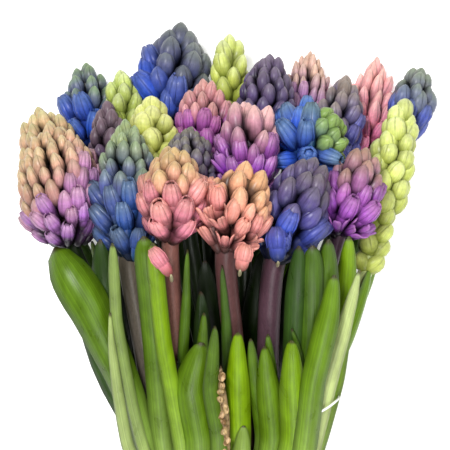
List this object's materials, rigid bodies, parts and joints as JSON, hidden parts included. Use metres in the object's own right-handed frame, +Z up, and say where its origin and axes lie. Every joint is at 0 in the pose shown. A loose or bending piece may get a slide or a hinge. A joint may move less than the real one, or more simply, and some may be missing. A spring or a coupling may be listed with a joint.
{
  "type": "tied bunch of hyacinths",
  "caption": "Loose tied bunch of hyacinths in many colours, lying on its back: budded flower heads above bundled stems and strap leaves, held by elastic ties.",
  "frame": {"origin": "on the surface the bunch lies on, below the middle of its bounding box", "axes": "+Y from the cut ends towards the flowers, +Z up and away from the surface it lies on, +X to the right as seen from above with the flowers at the top"},
  "size_m": [0.2796, 0.3818, 0.1555],
  "materials": {
    "petals_peach_mauve": "soft waxy petals",
    "petals_slate_blue": "soft waxy petals",
    "petals_salmon": "soft waxy petals",
    "petals_coral": "soft waxy petals",
    "petals_violet_blue": "soft waxy petals",
    "petals_magenta": "soft waxy petals",
    "petals_white_green": "soft waxy petals",
    "petals_plum_small": "soft waxy petals",
    "petals_lime_round": "soft waxy petals",
    "petals_slate_plum": "soft waxy petals",
    "petals_orchid_pink": "soft waxy petals",
    "petals_mauve_loose": "soft waxy petals",
    "petals_blue_green_top": "soft waxy petals",
    "petals_plum_blue": "soft waxy petals",
    "petals_beige_green": "soft waxy petals",
    "petals_royal_blue": "soft waxy petals",
    "petals_lime_small": "soft waxy petals",
    "petals_cobalt": "soft waxy petals",
    "petals_cream_green": "soft waxy petals",
    "petals_ink_plum": "soft waxy petals",
    "petals_mauve_spike": "soft waxy petals",
    "petals_rose_pink": "soft waxy petals",
    "petals_slate_teal": "soft waxy petals",
    "stem_green": "smooth, faintly waxy stem",
    "stem_plum": "smooth, faintly waxy stem",
    "stem_slate": "smooth, faintly waxy stem",
    "stem_pale": "smooth, faintly waxy stem",
    "leaf": "glossy leaf with lengthwise veins",
    "elastic": "matt white elastic"
  },
  "bodies": {
    "root": {"head_peach_mauve": "petals_peach_mauve", "stem_peach_mauve": "stem_green", "head_slate_blue": "petals_slate_blue", "stem_slate_blue": "stem_slate", "head_salmon": "petals_salmon", "stem_salmon": "stem_plum", "head_coral": "petals_coral", "stem_coral": "stem_plum", "head_violet_blue": "petals_violet_blue", "stem_violet_blue": "stem_plum", "head_magenta": "petals_magenta", "stem_magenta": "stem_plum", "head_white_green": "petals_white_green", "stem_white_green": "stem_pale", "head_plum_small": "petals_plum_small", "stem_plum_small": "stem_green", "head_lime_round": "petals_lime_round", "stem_lime_round": "stem_green", "head_slate_plum": "petals_slate_plum", "stem_slate_plum": "stem_green", "head_orchid_pink": "petals_orchid_pink", "stem_orchid_pink": "stem_green", "head_mauve_loose": "petals_mauve_loose", "stem_mauve_loose": "stem_green", "head_blue_green_top": "petals_blue_green_top", "stem_blue_green_top": "stem_green", "head_plum_blue": "petals_plum_blue", "stem_plum_blue": "stem_green", "head_beige_green": "petals_beige_green", "stem_beige_green": "stem_green", "head_royal_blue": "petals_royal_blue", "stem_royal_blue": "stem_green", "head_lime_small": "petals_lime_small", "stem_lime_small": "stem_green", "head_cobalt": "petals_cobalt", "stem_cobalt": "stem_green", "head_cream_green": "petals_cream_green", "stem_cream_green": "stem_green", "head_ink_plum": "petals_ink_plum", "stem_ink_plum": "stem_green", "head_mauve_spike": "petals_mauve_spike", "stem_mauve_spike": "stem_green", "head_rose_pink": "petals_rose_pink", "stem_rose_pink": "stem_green", "head_slate_teal": "petals_slate_teal", "stem_slate_teal": "stem_green", "leaves_left": "leaf", "leaves_slate": "leaf", "leaves_salmon": "leaf", "leaves_middle": "leaf", "leaves_coral": "leaf", "leaves_violet": "leaf", "leaves_magenta": "leaf", "leaves_right": "leaf", "tie_white": "elastic", "tie_foot": "elastic"}
  },
  "joints": []
}
